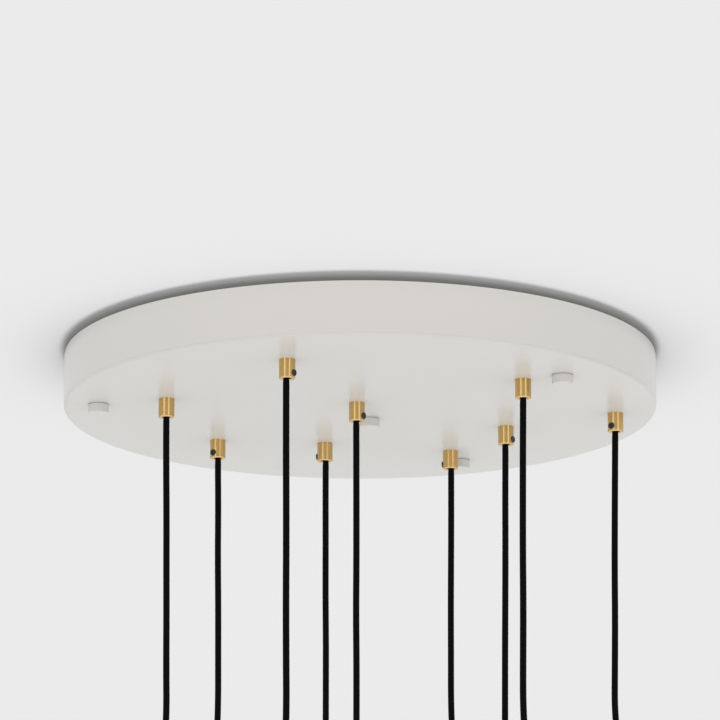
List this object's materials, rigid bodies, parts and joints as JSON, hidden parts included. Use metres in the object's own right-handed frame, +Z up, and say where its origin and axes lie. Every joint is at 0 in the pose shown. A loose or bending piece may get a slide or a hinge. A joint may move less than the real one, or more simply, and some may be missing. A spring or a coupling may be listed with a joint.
{
  "type": "cluster pendant light",
  "caption": "Round ceiling canopy with brass cord grips from which lampholders hang on black textile cords at staggered heights.",
  "frame": {"origin": "centre of the bracket's circle of ceiling screws, on the ceiling plane", "axes": "+Z up into the ceiling along the screws; -Y towards the picture's viewer; +X to the viewer's right"},
  "size_m": [0.6, 0.6, 0.548],
  "materials": {
    "canopy_paint": "off-white satin powder coat",
    "grip_brass": "satin turned brass",
    "holder_brass": "satin turned brass",
    "black_steel": "blackened steel",
    "zinc_steel": "zinc-plated steel",
    "cord_textile": "black braided textile sleeve",
    "box_plastic": "moulded white plastic",
    "strip_plastic": "moulded natural nylon",
    "terminal_brass": "plain slotted screw heads",
    "grommet_rubber": "black moulded rubber",
    "socket_insert": "black phenolic moulding"
  },
  "bodies": {
    "root": {"canopy_pan": "canopy_paint", "bracket_hub": "zinc_steel", "bracket_arms": "zinc_steel", "bracket_studs": "zinc_steel", "stud_nuts": "zinc_steel", "cord_grips": "grip_brass", "grip_washers": "zinc_steel", "grip_lock_nuts": "zinc_steel", "cord_tails": "cord_textile", "supply_grommet": "grommet_rubber", "terminal_box": "box_plastic", "terminal_lid": "box_plastic", "terminal_strip": "strip_plastic", "terminal_screws": "terminal_brass"},
    "pendant_1": {"pendant_cord_1": "cord_textile", "lampholder_shell_1": "holder_brass", "lampholder_insert_1": "socket_insert"},
    "pendant_2": {"pendant_cord_2": "cord_textile", "lampholder_shell_2": "holder_brass", "lampholder_insert_2": "socket_insert"},
    "pendant_3": {"pendant_cord_3": "cord_textile", "lampholder_shell_3": "holder_brass", "lampholder_insert_3": "socket_insert"},
    "pendant_4": {"pendant_cord_4": "cord_textile", "lampholder_shell_4": "holder_brass", "lampholder_insert_4": "socket_insert"},
    "pendant_5": {"pendant_cord_5": "cord_textile", "lampholder_shell_5": "holder_brass", "lampholder_insert_5": "socket_insert"},
    "pendant_6": {"pendant_cord_6": "cord_textile", "lampholder_shell_6": "holder_brass", "lampholder_insert_6": "socket_insert"},
    "pendant_7": {"pendant_cord_7": "cord_textile", "lampholder_shell_7": "holder_brass", "lampholder_insert_7": "socket_insert"},
    "pendant_8": {"pendant_cord_8": "cord_textile", "lampholder_shell_8": "holder_brass", "lampholder_insert_8": "socket_insert"},
    "pendant_9": {"pendant_cord_9": "cord_textile", "lampholder_shell_9": "holder_brass", "lampholder_insert_9": "socket_insert"},
    "clamp_screw_1": {"clamp_screw_1": "black_steel"},
    "clamp_screw_2": {"clamp_screw_2": "black_steel"},
    "clamp_screw_3": {"clamp_screw_3": "black_steel"},
    "clamp_screw_4": {"clamp_screw_4": "black_steel"},
    "clamp_screw_5": {"clamp_screw_5": "black_steel"},
    "clamp_screw_6": {"clamp_screw_6": "black_steel"},
    "clamp_screw_7": {"clamp_screw_7": "black_steel"},
    "clamp_screw_8": {"clamp_screw_8": "black_steel"},
    "clamp_screw_9": {"clamp_screw_9": "black_steel"},
    "cap_washer_1": {"cap_washer_1": "zinc_steel"},
    "cap_nut_1": {"cap_nut_1": "canopy_paint"},
    "cap_washer_2": {"cap_washer_2": "zinc_steel"},
    "cap_nut_2": {"cap_nut_2": "canopy_paint"},
    "cap_washer_3": {"cap_washer_3": "zinc_steel"},
    "cap_nut_3": {"cap_nut_3": "canopy_paint"},
    "cap_washer_4": {"cap_washer_4": "zinc_steel"},
    "cap_nut_4": {"cap_nut_4": "canopy_paint"}
  },
  "joints": [
    {"name": "pendant_1_swing", "type": "hinge", "parent": "root", "child": "pendant_1", "pos_m": [-0.19392, -0.05018, -0.0753], "axis": [1, 0, 0], "range_deg": [-12, 12]},
    {"name": "pendant_2_swing", "type": "hinge", "parent": "root", "child": "pendant_2", "pos_m": [-0.14709, 0.12694, -0.0753], "axis": [1, 0, 0], "range_deg": [-12, 12]},
    {"name": "pendant_3_swing", "type": "hinge", "parent": "root", "child": "pendant_3", "pos_m": [-0.07152, -0.2036, -0.0753], "axis": [1, 0, 0], "range_deg": [-12, 12]},
    {"name": "pendant_4_swing", "type": "hinge", "parent": "root", "child": "pendant_4", "pos_m": [-0.03543, 0.13816, -0.0753], "axis": [1, 0, 0], "range_deg": [-12, 12]},
    {"name": "pendant_5_swing", "type": "hinge", "parent": "root", "child": "pendant_5", "pos_m": [-0.00405, -0.03218, -0.0753], "axis": [1, 0, 0], "range_deg": [-12, 12]},
    {"name": "pendant_6_swing", "type": "hinge", "parent": "root", "child": "pendant_6", "pos_m": [0.09606, 0.17266, -0.0753], "axis": [1, 0, 0], "range_deg": [-12, 12]},
    {"name": "pendant_7_swing", "type": "hinge", "parent": "root", "child": "pendant_7", "pos_m": [0.14885, 0.06694, -0.0753], "axis": [1, 0, 0], "range_deg": [-12, 12]},
    {"name": "pendant_8_swing", "type": "hinge", "parent": "root", "child": "pendant_8", "pos_m": [0.16089, -0.12821, -0.0753], "axis": [1, 0, 0], "range_deg": [-12, 12]},
    {"name": "pendant_9_swing", "type": "hinge", "parent": "root", "child": "pendant_9", "pos_m": [0.26003, 0.0116, -0.0753], "axis": [1, 0, 0], "range_deg": [-12, 12]},
    {"name": "clamp_screw_1_turn", "type": "hinge", "parent": "root", "child": "clamp_screw_1", "pos_m": [-0.19392, -0.04908, -0.067], "axis": [0, 1, 0], "range_deg": [0, 360]},
    {"name": "clamp_screw_2_turn", "type": "hinge", "parent": "root", "child": "clamp_screw_2", "pos_m": [-0.14775, 0.12606, -0.067], "axis": [-0.6018, -0.7986, 0], "range_deg": [0, 360]},
    {"name": "clamp_screw_3_turn", "type": "hinge", "parent": "root", "child": "clamp_screw_3", "pos_m": [-0.07059, -0.20418, -0.067], "axis": [0.848, -0.5299, 0], "range_deg": [0, 360]},
    {"name": "clamp_screw_4_turn", "type": "hinge", "parent": "root", "child": "clamp_screw_4", "pos_m": [-0.03651, 0.13839, -0.067], "axis": [-0.9781, 0.2079, 0], "range_deg": [0, 360]},
    {"name": "clamp_screw_5_turn", "type": "hinge", "parent": "root", "child": "clamp_screw_5", "pos_m": [-0.00312, -0.03276, -0.067], "axis": [0.848, -0.5299, 0], "range_deg": [0, 360]},
    {"name": "clamp_screw_6_turn", "type": "hinge", "parent": "root", "child": "clamp_screw_6", "pos_m": [0.09498, 0.17289, -0.067], "axis": [-0.9781, 0.2079, 0], "range_deg": [0, 360]},
    {"name": "clamp_screw_7_turn", "type": "hinge", "parent": "root", "child": "clamp_screw_7", "pos_m": [0.14982, 0.06642, -0.067], "axis": [0.8829, -0.4695, 0], "range_deg": [0, 360]},
    {"name": "clamp_screw_8_turn", "type": "hinge", "parent": "root", "child": "clamp_screw_8", "pos_m": [0.16089, -0.12711, -0.067], "axis": [0, 1, 0], "range_deg": [0, 360]},
    {"name": "clamp_screw_9_turn", "type": "hinge", "parent": "root", "child": "clamp_screw_9", "pos_m": [0.25938, 0.01071, -0.067], "axis": [-0.5878, -0.809, 0], "range_deg": [0, 360]},
    {"name": "cap_nut_1_drop", "type": "slide", "parent": "root", "child": "cap_washer_1", "axis": [0, 0, -1], "range_m": [0, 0.004]},
    {"name": "cap_nut_1_turn", "type": "hinge", "parent": "cap_washer_1", "child": "cap_nut_1", "pos_m": [-0.26352, -0.02688, -0.053], "axis": [0, 0, -1], "range_deg": [0, 1800]},
    {"name": "cap_nut_2_drop", "type": "slide", "parent": "root", "child": "cap_washer_2", "axis": [0, 0, -1], "range_m": [0, 0.004]},
    {"name": "cap_nut_2_turn", "type": "hinge", "parent": "cap_washer_2", "child": "cap_nut_2", "pos_m": [0.19905, -0.14415, -0.053], "axis": [0, 0, -1], "range_deg": [0, 1800]},
    {"name": "cap_nut_3_drop", "type": "slide", "parent": "root", "child": "cap_washer_3", "axis": [0, 0, -1], "range_m": [0, 0.004]},
    {"name": "cap_nut_3_turn", "type": "hinge", "parent": "cap_washer_3", "child": "cap_nut_3", "pos_m": [0.1056, 0.21282, -0.053], "axis": [0, 0, -1], "range_deg": [0, 1800]},
    {"name": "cap_nut_4_drop", "type": "slide", "parent": "root", "child": "cap_washer_4", "axis": [0, 0, -1], "range_m": [0, 0.004]},
    {"name": "cap_nut_4_turn", "type": "hinge", "parent": "cap_washer_4", "child": "cap_nut_4", "pos_m": [0.00942, 0.03336, -0.053], "axis": [0, 0, -1], "range_deg": [0, 1800]}
  ],
  "couplings": [
    {"joint": "cap_nut_1_turn", "follows": "cap_nut_1_drop", "rad_per_m": 7854},
    {"joint": "cap_nut_2_turn", "follows": "cap_nut_2_drop", "rad_per_m": 7854},
    {"joint": "cap_nut_3_turn", "follows": "cap_nut_3_drop", "rad_per_m": 7854},
    {"joint": "cap_nut_4_turn", "follows": "cap_nut_4_drop", "rad_per_m": 7854}
  ]
}
